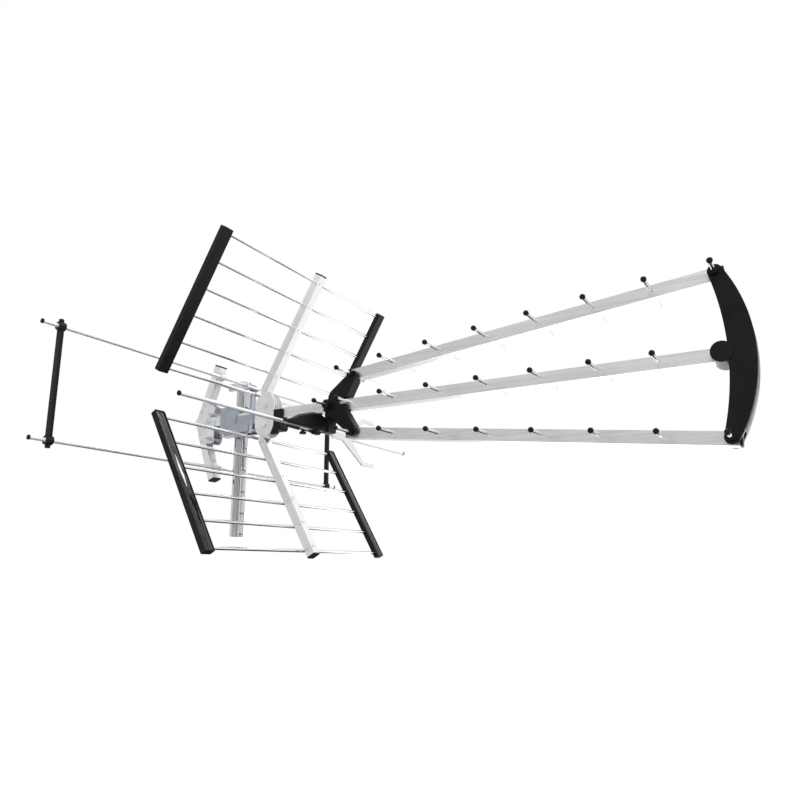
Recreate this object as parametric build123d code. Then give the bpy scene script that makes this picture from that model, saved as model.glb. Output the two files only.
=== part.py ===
"""Three-boom roof antenna with a folding corner reflector, on a stub of mast.

Millimetres. +X points to the nose, +Y across the antenna along its rods, +Z up.
The pieces are drawn from the centre line of the middle boom, level with the mast.
The finished antenna is then set with its origin in the middle of the mast's foot.
"""
import math
import os

from build123d import *

# Clearances shared by every fit
GAP = 0.3
SEAT = 0.15

# Square tubes
BOOM = 20.0
BOOM_WALL = 1.6
ARM = 17.0
ARM_WALL = 1.5

# Rods
ROD_R = 3.0
VHF_R = 3.25
CAP_R = 4.45
BALL_R = 5.4
ROD_SIDES = 8
LONG_ROD_SIDES = 12
BOSS_SIDES = 10
DISC_SIDES = 20
RIVET_SIDES = 6

# Directors
DIRECTOR_HALF = 64.75
PITCH = 89.7
FIRST_X = 301.3
FIRST_Z = 54.7
EXTRA_X = 253.5
TILT = 6.02
BOOM_TAIL = 12.0
BOOM_NOSE = 10.0
PLUG_LIP = 3.5
BOOM_REAR_X = -88.0
MIDDLE_NOSE = 12.0

# Plates and brackets that grip the booms
PLATE_IN = BOOM / 2 + GAP
HEAD_T = 2.5
CHEEK_T = 3.0
WEB_T = 3.0
GUSSET_T = 2.2
BOSS_R = 6.6
NOSE_BOSS = 30.0
NOSE_FACE = 23.0
REAR_BOSS = 24.0
REAR_FACE = 18.0
LUG_R = 15.5
LUG_PROUD = 2.5
SPLIT_Z = 1.4
FAR_SETBACK = 12.0

# Corner reflector
PANEL_LEAN = 29.9
PANEL_X = 69.6
PANEL_Z = 43.5
PANEL_PITCH = 50.73
PANEL_RODS = 6
PANEL_HALF = 239.0
BAR_W = 22.0
BAR_D = 11.0
BAR_WALL = 1.8
BAR_INNER = 9.0
BAR_OUTER = 8.5
ROD_STOP = 6.0
ARM_START = 17.0
ARM_OUTER = 15.0
RIVET_R = 1.5
RIVET_HEAD = 3.2
RIVET_STEPS = (84.0, 100.0)
PIVOT_X = 95.0
PIVOT_Z = 19.7
BOLT_R = 3.0

# Mast and clamp
MAST_R = 15.0
MAST_WALL = 1.5
MAST_Y = 30.0
MAST_TOP = 85.0
MAST_FOOT = -232.0
CLAMP_HALF_X = 21.3
CLAMP_HALF_Z = 25.0
JAW_X = 34.0
JAW_T = 10.0
JAW_BOLT_X = 25.0
JAW_BOLT_Z = 17.6
GROOVE_ANGLE = 50.0
U_Z = 74.0
U_R = 3.0

# Band three rods
V_HALF = 411.3
SPACER_INSET = 33.2
V_X = -34.3
V_Z = 95.4
V_LEAN = 20.5
V_END_X = -40.7
V_END_Z = 117.8
V_DEPTH = 16.0
V_LENGTH = 106.0
D_HALF = 337.7
D_X = 208.7
D_Z = -38.6

# Feed point
FEED_FROM_ROD = 31.3
FEED_HALF = 10.5
FEED_Z0 = -48.5
FEED_SHOULDER = -22.0
FEED_Y = 13.0
STUB_Z = -54.0

# Places worked out from the values above
FEED_X = D_X + FEED_FROM_ROD
V_SPACER = V_HALF - SPACER_INSET
ARM_FRONT = ARM / 2 + ROD_R + SEAT
ARM_END = PANEL_PITCH * (PANEL_RODS - 1) + ARM_OUTER
NOSE_Z = FIRST_Z + 7 * PITCH * math.sin(math.radians(TILT))
NOSE_X = FIRST_X + 7 * PITCH * math.cos(math.radians(TILT))
MID_NOSE_X = FIRST_X + 7 * PITCH
LUG_X = MID_NOSE_X - 3.7


# Small helpers

def along_y(radius, y0, y1, x=0.0, z=0.0):
    """A round bar along Y between two stations."""
    bar = Cylinder(radius, y1 - y0, align=(Align.CENTER, Align.CENTER, Align.MIN))
    return Pos(x, y0, z) * Rot(-90, 0, 0) * bar


def block(x0, x1, y0, y1, z0, z1):
    """A box between two corners."""
    box = Box(x1 - x0, y1 - y0, z1 - z0, align=(Align.MIN, Align.MIN, Align.MIN))
    return Pos(x0, y0, z0) * box


def upright(sketch, y0, y1):
    """A flat shape drawn as X and Z, made thick between two Y stations."""
    return Pos(0, y1, 0) * extrude(Plane.XZ * sketch, amount=y1 - y0)


def link(*spots):
    """The outline drawn tight round some circles, each as x, z, radius."""
    rings = Sketch() + [Pos(x, z) * Circle(r) for x, z, r in spots]
    return make_hull(rings.edges())


def bar(radius, y0, y1, x=0.0, z=0.0, sides=ROD_SIDES):
    """A slim bar or its hole along Y, drawn with few sides."""
    return Pos(x, y1, z) * extrude(Plane.XZ * RegularPolygon(radius, sides), amount=y1 - y0)


def ring(x, z, radius, y0, y1):
    """A bolt hole through plates."""
    return bar(radius, y0, y1, x, z)


def faceted(rings):
    """A closed body with flat faces between rings of the same number of corners."""
    faces = [Face(Wire.make_polygon(rings[0])), Face(Wire.make_polygon(rings[-1]))]
    for one, two in zip(rings, rings[1:]):
        for k in range(len(one)):
            n = (k + 1) % len(one)
            faces.append(Face(Wire.make_polygon([one[k], one[n], two[n], two[k]])))
    return Solid(Shell(faces)).fix()


def group(solids):
    """Separate solids kept together in one node."""
    return Compound(children=[s if isinstance(s, Solid) else s.solids()[0] for s in solids])


def hexagon(radius, length):
    """Six sided bar from the origin along Y."""
    return Rot(-90, 0, 0) * extrude(RegularPolygon(radius, 6), amount=length)


# Booms and directors

def boom(x0, x1, places):
    """Square tube along X with a cross hole at every director."""
    tube = block(x0, x1, -BOOM / 2, BOOM / 2, -BOOM / 2, BOOM / 2)
    core = BOOM / 2 - BOOM_WALL
    tube = tube - block(x0 - 1, x1 + 1, -core, core, -core, core)
    for s in places:
        tube = tube - bar(ROD_R + GAP / 2, -BOOM, BOOM, s, 0)
    return tube


def stations():
    """Director places along a boom, from its first one."""
    return [PITCH * k for k in range(8)]


def fan(side):
    """Turns a boom built from its first director into the upper or lower one."""
    return Pos(FIRST_X, 0, side * FIRST_Z) * Rot(0, -side * TILT, 0)


def outer_boom(side):
    return fan(side) * boom(-BOOM_TAIL, 7 * PITCH + BOOM_NOSE, stations())


def middle_places():
    return [EXTRA_X] + [FIRST_X + PITCH * k for k in range(7)]


def middle_boom():
    holes = middle_places() + [LUG_X]
    tube = boom(BOOM_REAR_X, MID_NOSE_X + MIDDLE_NOSE, holes)
    x, z = gusset_bolt_places()[1]
    return tube - ring(x, z, BOLT_R + GAP, -BOOM, BOOM)


def director():
    """One rod; its near end stops against the floor of its ball cap."""
    return bar(ROD_R, -DIRECTOR_HALF, DIRECTOR_HALF)


def cap(radius, bore, y_end):
    """Ball cap pushed over the near end of a rod, which stops at y_end."""
    rings = []
    for y, share in ((3.0, 0.76), (0.9, 1.0), (-1.7, 0.96), (-4.0, 0.54)):
        turns = [2 * math.pi * k / ROD_SIDES for k in range(ROD_SIDES)]
        size = radius * share
        rings.append([(size * math.cos(a), y_end + y, size * math.sin(a)) for a in turns])
    return faceted(rings) - bar(bore, y_end - SEAT, y_end + 4.0)


def director_set(side):
    if side == 0:
        return group([Pos(x, 0, 0) * director() for x in middle_places()])
    return group([fan(side) * Pos(s, 0, 0) * director() for s in stations()])


def director_caps():
    """One black ball for every director, on its near end."""
    one = cap(CAP_R, ROD_R + SEAT / 4, -DIRECTOR_HALF)
    made = [Pos(x, 0, 0) * one for x in middle_places()]
    for side in (1, -1):
        made += [fan(side) * Pos(s, 0, 0) * one for s in stations()]
    return group(made)


def boom_plug(x_face, toward, lip_t=2.0):
    """Push-in plug that closes a square tube."""
    core = BOOM / 2 - BOOM_WALL - SEAT
    lip = BOOM / 2 - 0.4
    stem = block(min(0, -toward * 5), max(0, -toward * 5), -core, core, -core, core)
    cover = block(min(0, toward * lip_t), max(0, toward * lip_t), -lip, lip, -lip, lip)
    return Pos(x_face, 0, 0) * (stem + cover)


def boom_plugs():
    nose = 7 * PITCH + BOOM_NOSE
    made = []
    for side in (1, -1):
        made.append(fan(side) * boom_plug(nose, 1, PLUG_LIP))
        made.append(fan(side) * boom_plug(-BOOM_TAIL, -1))
    made.append(boom_plug(BOOM_REAR_X, -1))
    made.append(boom_plug(MID_NOSE_X + MIDDLE_NOSE, 1))
    return made


# Nose bracket: two curved hollow mouldings that join the three boom ends

def nose_outline():
    """Crescent from the upper boom to the lower one, with the lug on its inner edge."""
    outer = ThreePointArc((935.5, NOSE_Z + 6.0), (969.6, 0.0), (935.5, -NOSE_Z - 6.0))
    lower_end = ThreePointArc(
        (935.5, -NOSE_Z - 6.0), (927.0, -NOSE_Z - 10.2), (917.0, -NOSE_Z + 2.0)
    )
    inner = ThreePointArc((917.0, -NOSE_Z + 2.0), (933.4, 0.0), (917.0, NOSE_Z - 2.0))
    upper_end = ThreePointArc(
        (917.0, NOSE_Z - 2.0), (927.0, NOSE_Z + 10.2), (935.5, NOSE_Z + 6.0)
    )
    return make_face(outer + lower_end + inner + upper_end)


def lug_disc(extra=0.0):
    return Pos(LUG_X, 0.0) * RegularPolygon(LUG_R + extra, DISC_SIDES)


def above(z_low):
    return Pos(900.0, z_low + 200.0) * Rectangle(400.0, 400.0)


def cut_booms(body, side):
    """Takes the square ways for one outer boom and for the middle one out of a bracket."""
    reach = 7 * PITCH + BOOM_NOSE + 60.0
    body = body - fan(side) * block(-60.0, reach, -PLATE_IN, PLATE_IN, -PLATE_IN, PLATE_IN)
    x1 = MID_NOSE_X + MIDDLE_NOSE + 2.0 + GAP
    return body - block(230.0, x1, -PLATE_IN, PLATE_IN, -PLATE_IN, PLATE_IN)


def nose_screw_places():
    return [(937.6, 89.2), (949.4, 21.4)]


def nose_half(side):
    """One hollow half with a boss round the last director; the lower one has the lug."""
    outline = nose_outline()
    hollow = offset(outline, amount=-CHEEK_T)
    if side > 0:
        half = (outline & above(SPLIT_Z + SEAT)) - lug_disc(GAP)
        room = (hollow & above(SPLIT_Z + SEAT + CHEEK_T)) - lug_disc(GAP + CHEEK_T)
    else:
        half = (outline - above(SPLIT_Z - SEAT)) + lug_disc()
        room = hollow - above(SPLIT_Z)
    inside = NOSE_FACE - CHEEK_T
    body = upright(half, -NOSE_FACE, NOSE_FACE) - upright(room, -inside, inside)
    for y0, y1 in ((-NOSE_BOSS, -PLATE_IN), (PLATE_IN, NOSE_BOSS)):
        body = body + bar(BOSS_R, y0, y1, NOSE_X, side * NOSE_Z, BOSS_SIDES)
    if side < 0:
        reach = NOSE_FACE + LUG_PROUD
        body = body + upright(lug_disc(), -reach, reach)
        body = body - ring(LUG_X, 0, ROD_R + GAP / 2, -40, 40)
    body = cut_booms(body, side)
    body = body - bar(ROD_R + GAP, -40, 40, NOSE_X, side * NOSE_Z)
    if side > 0:
        for x, z in nose_screw_places():
            body = body - ring(x, z, 2.9, -40, -NOSE_FACE + 1.8)
            body = body - bar(1.5 + GAP / 2, -40, inside + 1.5, x, z, RIVET_SIDES)
    return body


def nose_fasteners():
    """Two long screws sunk in the upper half, and the pin of the lug."""
    made = []
    face = -NOSE_FACE + 1.8
    for x, z in nose_screw_places():
        head = bar(2.6, face - 1.2 - SEAT, face - SEAT, x, z)
        made.append(head + bar(1.5, face - 0.5, NOSE_FACE - CHEEK_T + 1.2, x, z, RIVET_SIDES))
    reach = NOSE_FACE + LUG_PROUD
    made.append(bar(ROD_R, -reach, reach, LUG_X, 0))
    return group(made)


# Rear bracket: two halves that hold the boom roots

def rear_outline(setback=0.0):
    up = link((271.0, 12.0, 19.5), (304.8, 51.6, 8.6))
    down = link((264.0, -6.0, 18.5), (304.8, -51.6, 8.6))
    hub = Pos(266.0, 0.0) * Rectangle(50.0, 24.0)
    notch = Pos(290.0, 6.2) * Rectangle(42.0, 12.4)
    whole = up + down + hub - notch
    if setback:
        whole = whole & (Pos(-setback, 0) * whole + Pos(240.0, 0) * Rectangle(60.0, 140.0))
    return whole


def rear_half(side):
    """One hollow half, split on the middle plane; the far one is narrower."""
    outline = rear_outline(FAR_SETBACK if side > 0 else 0.0)
    y0, y1 = sorted((side * SEAT, side * REAR_FACE))
    body = upright(outline, y0, y1)
    y0, y1 = sorted((-side, side * (REAR_FACE - CHEEK_T)))
    body = body - upright(offset(outline, amount=-CHEEK_T), y0, y1)
    y0, y1 = sorted((side * PLATE_IN, side * REAR_BOSS))
    for z in (FIRST_Z, -FIRST_Z):
        body = body + bar(BOSS_R, y0, y1, FIRST_X, z, BOSS_SIDES)
    y0, y1 = sorted((side * PLATE_IN, side * NOSE_BOSS))
    body = body + bar(BOSS_R + 1.5, y0, y1, EXTRA_X, 0, BOSS_SIDES)
    for x, z in rear_screw_places():
        y0, y1 = sorted((side * SEAT, side * REAR_FACE))
        body = body + bar(4.0, y0, y1, x, z)
    body = cut_booms(cut_booms(body, 1), -1)
    body = body - block(200, FEED_X + FEED_HALF + GAP, -30, 30, -60, -PLATE_IN)
    for x, z in ((FIRST_X, FIRST_Z), (FIRST_X, -FIRST_Z), (EXTRA_X, 0)):
        body = body - bar(ROD_R + GAP / 2, -50, 50, x, z)
    for x, z in rear_screw_places():
        body = body - bar(1.5 + GAP / 2, -50, REAR_FACE - 1.5, x, z, RIVET_SIDES)
        if side < 0:
            body = body - bar(3.0, -50, -REAR_FACE + 1.8, x, z)
    return body


def rear_screw_places():
    return [(287.3, 35.5), (287.3, -35.5), (257.5, -15.0)]


def rear_screws():
    """Long sunk screws that draw the two halves together."""
    made = []
    face = -REAR_FACE + 1.8
    for x, z in rear_screw_places():
        head = bar(2.6, face - 1.2 - SEAT, face - SEAT, x, z)
        made.append(head + bar(1.5, face - 0.5, REAR_FACE - 1.8, x, z, RIVET_SIDES))
    return group(made)


# Feed point: housing, near cover, far fork

def dipole_housing():
    """Closed box hung under the middle boom by a narrower neck."""
    x0, x1 = FEED_X - FEED_HALF, FEED_X + FEED_HALF
    body = block(x0, x1, -FEED_Y, FEED_Y, FEED_Z0, FEED_SHOULDER)
    edges = body.edges().filter_by(Axis.Z) + body.edges().group_by(Axis.Z)[0]
    body = chamfer(edges, 1.6)
    neck = PLATE_IN - 2 * GAP
    return body + block(x0 + 9, x1, -neck, neck, FEED_SHOULDER - 0.5, -PLATE_IN)


def feed_connector():
    """Cable socket on the rear face of the housing: hexagon, collar and open bore."""
    face = FEED_X - FEED_HALF - SEAT
    at = Plane(origin=(face, 0, (FEED_Z0 + FEED_SHOULDER) / 2), x_dir=(0, 1, 0), z_dir=(-1, 0, 0))
    flange = extrude(at * RegularPolygon(6.4, 6), amount=1.5)
    stud = extrude(at * RegularPolygon(4.7, BOSS_SIDES), amount=11.5)
    bore = extrude(at.offset(3.5) * RegularPolygon(2.3, ROD_SIDES), amount=9.0)
    return flange + stud - bore


def leaf_ring(y, z_low, z_high, half):
    """Eight corners of the leaf at one station: a rectangle with cut corners."""
    c = min(half, (z_high - z_low) / 2) * 0.5
    low, high = z_low, z_high
    loop = [(half, low + c), (half, high - c), (half - c, high), (c - half, high)]
    loop += [(-half, high - c), (-half, low + c), (c - half, low), (half - c, low)]
    return [(FEED_X + x, y, z) for x, z in loop]


def dipole_cover():
    """Leaf shaped cover of the near half, drawn out to a fine tip."""
    return faceted([
        leaf_ring(-FEED_Y - SEAT, FEED_Z0 + 0.5, -23.0, 8.0),
        leaf_ring(-30.0, FEED_Z0 - 0.3, -17.0, 7.8),
        leaf_ring(-53.0, FEED_Z0 - 0.5, -18.0, 7.3),
        leaf_ring(-88.0, FEED_Z0 - 0.5, -28.0, 6.0),
        leaf_ring(-113.0, FEED_Z0 - 0.5, -40.0, 3.8),
        leaf_ring(-130.0, FEED_Z0 + 1.0, -44.5, 1.3),
    ])


def dipole_fork():
    """Forked strip of the far half, flat in the plane across the boom."""
    middle = -48.0
    branch = [(FEED_Y + SEAT, middle - 7), (47, middle - 7), (118, middle - 47.5)]
    branch += [(160, middle - 47), (160, middle - 40), (122, middle - 40.5), (77, middle - 2)]
    branch += [(FEED_Y + SEAT, middle - 2)]
    upper = [(y, 2 * middle - z) for y, z in branch]
    stem = [(FEED_Y + SEAT, middle - 7), (60, middle - 7), (60, middle + 7), (FEED_Y + SEAT, middle + 7)]
    face = make_face(Polyline(*branch, close=True)) + make_face(Polyline(*upper, close=True))
    face = face + make_face(Polyline(*stem, close=True))
    place = Plane(origin=(FEED_X - 1.2, 0, 0), x_dir=(0, 1, 0), z_dir=(1, 0, 0))
    return extrude(place * face, amount=2.4)


def stub_rod():
    """Thin bar under the leaf: an end sleeve, a knob and the foot that carries it."""
    top = FEED_Z0 - 1.0 - SEAT
    foot = block(FEED_X - 4, FEED_X + 4, -46.0, -30.0, STUB_Z - 3.0, top)
    rod = bar(1.6, -118.0, -30.0, FEED_X, STUB_Z)
    sleeve = bar(2.9, -120.0, -88.0, FEED_X, STUB_Z)
    under = Plane(origin=(FEED_X, -76.0, STUB_Z), z_dir=(0, 0, -1))
    stem = extrude(under * RegularPolygon(3.2, ROD_SIDES), amount=5.0)
    knob = extrude(under.offset(4.0) * RegularPolygon(6.0, BOSS_SIDES), amount=4.0)
    return foot + rod + sleeve + stem + knob


# Band three dipole

def vhf_holder():
    """Block under the boom with a bore for the rod."""
    body = block(D_X - 8, D_X + 8, -9, 13, D_Z - 7, -PLATE_IN)
    body = chamfer(body.edges().filter_by(Axis.Y).group_by(Axis.Z)[0], 3.0)
    return body - bar(VHF_R + GAP / 2, -20, 20, D_X, D_Z, LONG_ROD_SIDES)


def vhf_rod():
    return bar(VHF_R, -D_HALF, D_HALF, D_X, D_Z, LONG_ROD_SIDES)


def rod_cap(y_end, x, z):
    """Ball cap at one end of a band three rod."""
    bore = (VHF_R + SEAT) / math.cos(math.pi / ROD_SIDES)
    one = cap(BALL_R, bore, -abs(y_end))
    turn = Rot(0, 0, 180 if y_end > 0 else 0)
    return Pos(x, 0, z) * turn * one


def rod_caps():
    made = []
    for far in (-1, 1):
        made.append(rod_cap(far * D_HALF, D_X, D_Z))
        made.append(rod_cap(far * V_HALF, V_X, V_Z))
        made.append(rod_cap(far * V_HALF, V_X, -V_Z))
    return group(made)


# Reflector panels

def panel_frame(side):
    """Local X runs outward along the arm, local Z points upward off the panel."""
    lean = math.radians(PANEL_LEAN)
    out = (math.sin(lean), 0, side * math.cos(lean))
    normal = (-side * math.cos(lean), 0, math.sin(lean))
    spot = (PANEL_X, 0, side * PANEL_Z)
    return Plane(origin=spot, x_dir=out, z_dir=normal).location


def panel_piece(shape, side):
    """Puts a piece drawn for the upper panel in place, or its mirror image below."""
    placed = panel_frame(1) * shape
    return placed if side > 0 else mirror(placed, about=Plane.XY)


def rod_steps():
    return [PANEL_PITCH * k for k in range(PANEL_RODS)]


def panel_rods(side):
    reach = PANEL_HALF + BAR_W - ROD_STOP
    return group([panel_piece(bar(ROD_R, -reach, reach, t, 0), side) for t in rod_steps()])


def end_bar():
    """Moulded channel, open along one side, with a boss for every rod and ribs between."""
    t0, t1 = -BAR_INNER, PANEL_PITCH * (PANEL_RODS - 1) + BAR_OUTER
    z0, z1 = -BAR_D / 2, BAR_D / 2
    y0, y1 = PANEL_HALF, PANEL_HALF + BAR_W
    body = block(t0, t1, y0, y1, z0, z1)
    body = chamfer(body.edges().filter_by(Axis.Z), 1.5)
    floor = z0 + BAR_WALL
    body = body - block(t0 + 2, t1 - 2, y0 + BAR_WALL, y1 - BAR_WALL, floor, z1 + 1)
    for t in rod_steps():
        body = body + block(t - 5.0, t + 5.0, y0 + 0.5, y1 - 0.5, floor - 0.5, z1 - 1.5)
    for k in range(PANEL_RODS - 1):
        t = PANEL_PITCH * (k + 0.5)
        body = body + block(t - 1.0, t + 1.0, y0 + 0.5, y1 - 0.5, floor - 0.5, z1 - 3.0)
    for t in rod_steps():
        body = body - bar(ROD_R + GAP / 2, y0 - 1, y1 - ROD_STOP + SEAT, t, 0)
    return body


def panel_bar(side, far):
    """The four bars are one moulding: its open side faces up on both panels."""
    body = end_bar()
    if far < 0:
        body = mirror(body, about=Plane.XZ)
    return panel_frame(side) * body


def arm_tube(t0, t1, deep, wide, wall):
    tube = block(t0, t1, -wide / 2, wide / 2, -deep / 2, deep / 2)
    inner_y, inner_z = wide / 2 - wall, deep / 2 - wall
    return tube - block(t0 - 1, t1 + 1, -inner_y, inner_y, -inner_z, inner_z)


def panel_arm(side):
    """Square tube in front of the rods, from the knuckle to the outer plug."""
    tube = arm_tube(ARM_START, ARM_END, ARM, ARM, ARM_WALL)
    hole = extrude(RegularPolygon(RIVET_R + GAP / 2, RIVET_SIDES), amount=ARM, both=True)
    for t in rod_steps()[1:]:
        tube = tube - Pos(t, 0, 0) * hole
    return panel_piece(Pos(0, 0, -ARM_FRONT) * tube, side)


def panel_rivets(side):
    """A rivet through the arm at every rod, its head on the front face."""
    made = []
    face = ARM / 2 + SEAT
    down = Plane(origin=(0, 0, face - 2 * SEAT), z_dir=(0, 0, -1))
    stem = extrude(down * RegularPolygon(RIVET_R, RIVET_SIDES), amount=2 * face - 2 * SEAT)
    head = extrude(down.offset(2 * face - 2 * SEAT) * RegularPolygon(RIVET_HEAD, ROD_SIDES), amount=0.8)
    for t in rod_steps()[1:]:
        made.append(panel_piece(Pos(t, 0, -ARM_FRONT) * (stem + head), side))
    return group(made)


def arm_plug(side):
    core = ARM / 2 - ARM_WALL - SEAT
    lip = ARM / 2 - 0.3
    stem = block(ARM_END - 10, ARM_END + 0.5, -core, core, -core, core)
    cover = block(ARM_END + SEAT, ARM_END + 3.0, -lip, lip, -lip, lip)
    return panel_piece(Pos(0, 0, -ARM_FRONT) * (stem + cover), side)


def knuckle(side):
    """Root of an arm: an eye on the pivot bolt, a web and a spigot inside the tube."""
    half = BOOM / 2
    lean = math.radians(PANEL_LEAN)
    foot_x = PANEL_X + ARM_START * math.sin(lean) + ARM_FRONT * math.cos(lean)
    foot_z = PANEL_Z + ARM_START * math.cos(lean) - ARM_FRONT * math.sin(lean)
    web = link((PIVOT_X, PIVOT_Z, 8.9), (foot_x - 1.2, foot_z - 6.2, 5.0))
    body = upright(web, -half, half)
    core = ARM / 2 - ARM_WALL - SEAT
    spigot = block(ARM_START - 11, ARM_START + 22, -core, core, -core, core)
    collar = block(ARM_START - 5, ARM_START - SEAT, -half, half, -ARM / 2, ARM / 2 - 1)
    body = body + panel_frame(1) * Pos(0, 0, -ARM_FRONT) * (spigot + collar)
    body = body - ring(PIVOT_X, PIVOT_Z, BOLT_R + GAP, -20, 20)
    if side < 0:
        body = mirror(body, about=Plane.XY)
    return body


# Head plates at the reflector pivots

def head_outline():
    return link((PIVOT_X, PIVOT_Z, 23.5), (PIVOT_X, -PIVOT_Z, 23.5))


def head_plate(side):
    y0, y1 = sorted((side * PLATE_IN, side * (PLATE_IN + HEAD_T)))
    plate = upright(head_outline(), y0, y1)
    for z in (PIVOT_Z, -PIVOT_Z):
        plate = plate - ring(PIVOT_X, z, BOLT_R + GAP, y0 - 1, y1 + 1)
    return plate


def head_bolts():
    """Hexagon bolts along Y, the heads on the near side."""
    face = PLATE_IN + HEAD_T + SEAT
    made = []
    for z in (PIVOT_Z, -PIVOT_Z):
        shank = bar(BOLT_R, -face - 0.5, face + 13.0, PIVOT_X, z)
        head = Pos(PIVOT_X, -face - 4.5, z) * hexagon(6.6, 4.5)
        made.append(shank + head)
    return group(made)


def wing_nut(x, y, z, bore, reach=13.0):
    """Round boss with two raised wings, seated on its face at y."""
    boss = bar(bore + 3.4, 0, 6.0, sides=BOSS_SIDES)
    wing = Polyline((2, 1), (reach, 6), (reach + 1, 12), (reach - 5, 12), (3, 6), close=True)
    blade = Pos(0, 0, -1.1) * extrude(make_face(wing), amount=2.2)
    nut = boss + blade + Rot(0, 180, 0) * blade
    return Pos(x, y, z) * (nut - bar(bore + SEAT / 2, -1, 14))


def head_nuts():
    face = PLATE_IN + HEAD_T + SEAT
    return group([wing_nut(PIVOT_X, face, z, BOLT_R) for z in (PIVOT_Z, -PIVOT_Z)])


def head_block():
    """Moulded saddle in front of the head plates: a cheek, a rib and a block below."""
    x0 = PIVOT_X + 23.5
    cheek = block(x0 - 4, x0 + 21.0, -14.0, -PLATE_IN, -9.5, 7.5)
    strap = block(x0 - 4, x0 + 5.0, -14.0, -PLATE_IN, -22.0, -8.0)
    base = block(x0 - 6, x0 + 18.0, -14.0, PLATE_IN, -34.0, -18.0)
    base = chamfer(base.edges().filter_by(Axis.Y).group_by(Axis.X)[-1], 3.0)
    rib = block(x0, x0 + 15.5, 0.0, PLATE_IN, -18.5, -PLATE_IN)
    toe = block(x0 - 6, x0 + 9.5, -13.0, -8.0, -41.0, -33.0)
    return cheek + strap + base + rib + toe - link_cut()


def link_cut():
    """Room for the rounded front of the head plates."""
    return upright(link((PIVOT_X, PIVOT_Z, 23.5 + GAP), (PIVOT_X, -PIVOT_Z, 23.5 + GAP)), -20, 20)


# Mast clamp

def groove_tool(y_mast, toward):
    """Vee that leaves the clearance between its flanks and the mast."""
    flank = math.radians(GROOVE_ANGLE)
    apex = (MAST_R + GAP) / math.sin(flank)
    deep = 40.0
    wide = deep * math.tan(flank)
    base = toward * (apex - deep)
    shape = Polyline((0, toward * apex), (-wide, base), (wide, base), close=True)
    return Pos(0, y_mast, 0) * extrude(Plane.XY * make_face(shape), amount=200, both=True)


def jaw_places():
    return [(x, z) for x in (-JAW_BOLT_X, JAW_BOLT_X) for z in (-JAW_BOLT_Z, JAW_BOLT_Z)]


def clamp_body():
    """Cast clamp that rings the middle boom and carries the inner mast jaw."""
    inner = PLATE_IN
    collar = block(-16.5, 16.5, -inner - 2, 14.0, -CLAMP_HALF_Z, CLAMP_HALF_Z)
    front = [(-CLAMP_HALF_X, 25), (CLAMP_HALF_X, 25), (CLAMP_HALF_X, -12), (54, -12), (56, -29.5)]
    front += [(-CLAMP_HALF_X, -29.5)]
    plate = upright(make_face(Polyline(*front, close=True)), -inner - 3.4, -inner)
    plate = fillet(plate.edges().filter_by(Axis.Y), 3.0)
    tongue = block(16, 66, -inner - 2.2, -inner, -18, 4.5)
    foot = block(-20.0, 20.0, -inner - 2, 10.0, -34.5, -32.5)
    foot = foot + block(-12.0, 12.0, -inner - 1, 8.0, -33.0, -CLAMP_HALF_Z + 1)
    jaw = block(-JAW_X, JAW_X, 11.0, 11.0 + JAW_T, -CLAMP_HALF_Z, CLAMP_HALF_Z)
    body = collar + plate + tongue + foot + jaw
    body = body - block(-100, 100, -inner, inner, -inner, inner)
    body = body - groove_tool(MAST_Y, -1)
    for x, z in jaw_places():
        body = body - bar(BOLT_R + GAP, 5, 30, x, z)
    return body


def mast_jaw():
    """Outer jaw: tall ribbed channel behind the mast with a matching groove."""
    y0 = 2 * MAST_Y - 11.0 - JAW_T
    jaw = block(-JAW_X, JAW_X, y0, y0 + JAW_T, -CLAMP_HALF_Z, CLAMP_HALF_Z)
    tall = block(-13.0, 13.0, y0, y0 + JAW_T + 5.0, -CLAMP_HALF_Z, U_Z + 9.0)
    body = jaw + tall - groove_tool(MAST_Y, 1)
    for x, z in jaw_places():
        body = body - bar(BOLT_R + GAP, 30, 70, x, z)
    return body


def jaw_bolts():
    start = 11.0 - SEAT
    length = 2 * (MAST_Y - start) + 12.0
    made = []
    for x, z in jaw_places():
        head = Pos(x, start - 4.0, z) * hexagon(5.8, 4.0)
        made.append(head + bar(BOLT_R, start - 0.5, start + length, x, z))
    return group(made)


def hex_nut(x, y, z, radius, tall):
    nut = Pos(x, y, z) * hexagon(radius, tall)
    return nut - bar(BOLT_R + SEAT / 2, y - 1, y + tall + 1, x, z)


def u_leg_x():
    return MAST_R + GAP + U_R + 1.2


def jaw_nuts():
    face = 2 * MAST_Y - 11.0 + SEAT
    made = [hex_nut(x, face, z, 5.8, 6.0) for x, z in jaw_places()]
    strap = MAST_Y - MAST_R - GAP - 3.0
    for x in (-u_leg_x(), u_leg_x()):
        made.append(hex_nut(x, strap - SEAT - 5.0, U_Z, 5.4, 5.0))
    return group(made)


def u_bolt():
    """Bow behind the tall jaw, its two legs threaded toward the near side."""
    x = u_leg_x()
    back = 2 * MAST_Y - 11.0 + 5.0 + U_R + GAP
    bend = 5.0
    corners = [(-x, -12), (-x, back - bend), (bend - x, back), (x - bend, back), (x, back - bend), (x, -12)]
    path = Polyline(*[(px, py, U_Z) for px, py in corners])
    start = Plane(origin=(-x, -12, U_Z), x_dir=(1, 0, 0), z_dir=(0, 1, 0))
    return sweep(start * RegularPolygon(U_R, ROD_SIDES), path=path, transition=Transition.RIGHT)


def u_strap():
    """Formed strap in front of the mast, on the two legs of the bow."""
    x = u_leg_x()
    y1 = MAST_Y - MAST_R - GAP
    strap = block(-x - 7, x + 7, y1 - 3.0, y1, U_Z - 8, U_Z + 8)
    strap = chamfer(strap.edges().filter_by(Axis.Y), 3.0)
    for leg in (-x, x):
        strap = strap - bar(U_R + GAP / 2, y1 - 5, y1 + 2, leg, U_Z)
    return strap


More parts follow.
